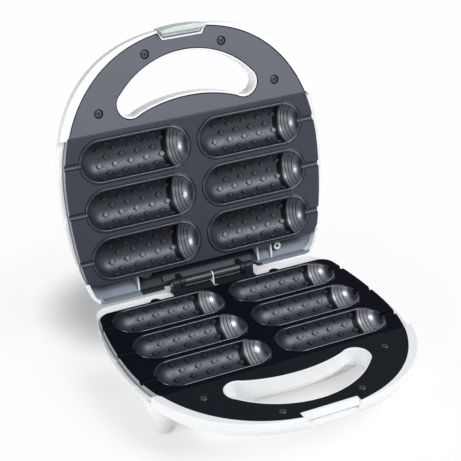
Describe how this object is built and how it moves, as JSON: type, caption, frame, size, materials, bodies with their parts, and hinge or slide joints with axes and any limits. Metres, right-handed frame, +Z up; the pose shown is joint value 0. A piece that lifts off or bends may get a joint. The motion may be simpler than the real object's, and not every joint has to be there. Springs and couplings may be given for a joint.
{
  "type": "waffle maker",
  "caption": "Lidded countertop waffle maker for stick waffles, with cut-out D handles, rear hinge and front latch, shown open.",
  "frame": {"origin": "on the surface it stands on, under the middle of the open machine's bounding box", "axes": "+Z up, +X along the hinge to the right as seen from the handles, +Y from the handles to the hinge"},
  "size_m": [0.2418, 0.2799, 0.2608],
  "materials": {
    "black_panel": "satin black, fine grain",
    "white_plastic": "glossy white moulded shell",
    "ceramic": "off-white ceramic and heat-proof moulding",
    "dark_hinge": "dark paint, satin",
    "dark_steel": "blackened steel, satin",
    "heater_sheath": "heat-darkened tube sheath",
    "green_lens": "clear green",
    "lamp_glass": "neon lamp glass",
    "pale_latch": "pale grey plastic",
    "grey_panel": "satin dark grey, fine grain",
    "nonstick_plate": "cast aluminium with a black non-stick coating",
    "red_lens": "clear red",
    "rubber": "matt black rubber",
    "grey_sleeve": "grey paint, satin",
    "plain_steel": "bare steel, satin"
  },
  "bodies": {
    "base": {"base_casing": "white_plastic", "base_cooking_plate": "nonstick_plate", "base_handle_panel": "black_panel", "base_heat_shield": "plain_steel", "base_heating_element": "heater_sheath", "base_hinge_plate": "dark_hinge", "base_panel_screw_1": "dark_steel", "base_panel_screw_2": "dark_steel", "base_panel_screw_3": "dark_steel", "base_panel_screw_4": "dark_steel", "cord_inlet_bush": "rubber", "foot_pad_1": "rubber", "foot_pad_2": "rubber", "foot_pad_3": "rubber", "foot_pad_4": "rubber", "hinge_knuckle_left": "dark_hinge", "hinge_knuckle_right": "dark_hinge", "hinge_pin": "plain_steel", "terminal_block": "ceramic", "thermal_fuse": "ceramic", "thermostat": "ceramic"},
    "lid": {"hinge_sleeve_left": "grey_sleeve", "hinge_sleeve_right": "grey_sleeve", "latch_pin": "plain_steel", "lid_casing": "white_plastic", "lid_cooking_plate": "nonstick_plate", "lid_handle_panel": "grey_panel", "lid_heat_shield": "plain_steel", "lid_heating_element": "heater_sheath", "lid_hinge_leaf": "dark_hinge", "lid_panel_screw_1": "dark_steel", "lid_panel_screw_2": "dark_steel", "lid_panel_screw_3": "dark_steel", "lid_panel_screw_4": "dark_steel", "power_lamp": "lamp_glass", "power_light_lens": "red_lens", "ready_lamp": "lamp_glass", "ready_light_lens": "green_lens"},
    "latch": {"latch_clip": "pale_latch"}
  },
  "joints": [
    {"name": "lid_hinge", "type": "hinge", "parent": "base", "child": "lid", "pos_m": [0, 0.0747, 0.0483], "axis": [1, 0, 0], "range_deg": [0, 103.27]},
    {"name": "latch_pivot", "type": "hinge", "parent": "lid", "child": "latch", "pos_m": [0, 0.13067, 0.25209], "axis": [-1, 0, 0], "range_deg": [0, 30]}
  ]
}
